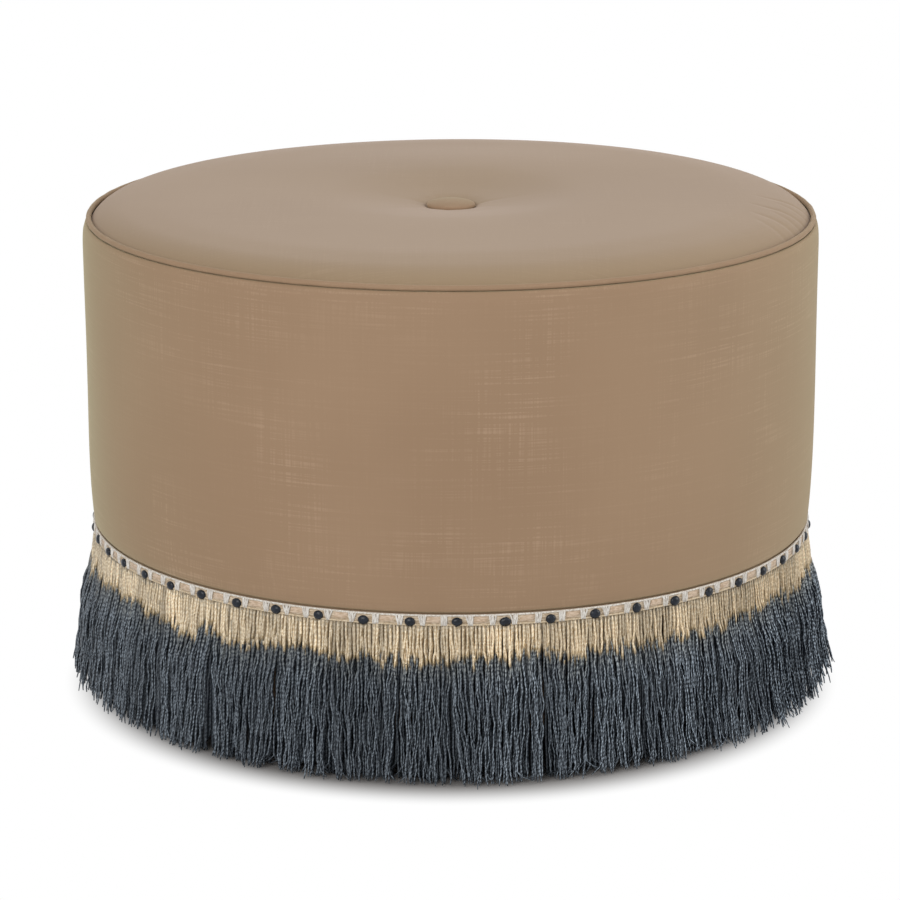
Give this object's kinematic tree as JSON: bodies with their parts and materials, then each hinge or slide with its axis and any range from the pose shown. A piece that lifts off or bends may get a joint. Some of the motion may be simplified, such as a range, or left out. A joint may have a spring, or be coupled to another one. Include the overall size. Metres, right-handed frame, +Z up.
{
  "type": "round upholstered ottoman",
  "caption": "Round upholstered ottoman with a piped, buttoned, crowned seat and a dip-dyed fringe to the floor under a beaded braid.",
  "frame": {"origin": "on the floor under the centre of the round body", "axes": "+Z up along the body's axis, the pictured front faces -Y"},
  "size_m": [0.7078, 0.7078, 0.4434],
  "materials": {
    "velvet": "satin",
    "wadding": "matte",
    "foam": "matte",
    "plywood": "matte",
    "timber": "matte",
    "hardwood": "satin",
    "steel": "satin",
    "cotton_cord": "matte",
    "cambric": "matte",
    "braid": "matte",
    "bead": "satin",
    "yarn": "satin",
    "nylon": "satin"
  },
  "bodies": {
    "root": {"top_cover": "velvet", "side_cover": "velvet", "welt_cover": "velvet", "button_cover": "velvet", "top_batting": "wadding", "side_padding": "wadding", "seat_foam": "foam", "top_deck": "plywood", "base_ring": "plywood", "side_board": "plywood", "post_1": "timber", "post_2": "timber", "post_3": "timber", "post_4": "timber", "post_5": "timber", "post_6": "timber", "foot_1": "hardwood", "foot_2": "hardwood", "foot_3": "hardwood", "foot_4": "hardwood", "deck_screws": "steel", "base_screws": "steel", "foot_bolts": "steel", "tee_nuts": "steel", "glide_nails": "steel", "cover_staples": "steel", "dust_staples": "steel", "button_shell": "steel", "button_back": "steel", "twine_washer": "steel", "welt_core": "cotton_cord", "button_twine": "cotton_cord", "dust_cover": "cambric", "gimp_braid": "braid", "beads": "bead", "fringe": "yarn", "glide_1": "nylon", "glide_2": "nylon", "glide_3": "nylon", "glide_4": "nylon"}
  },
  "joints": []
}
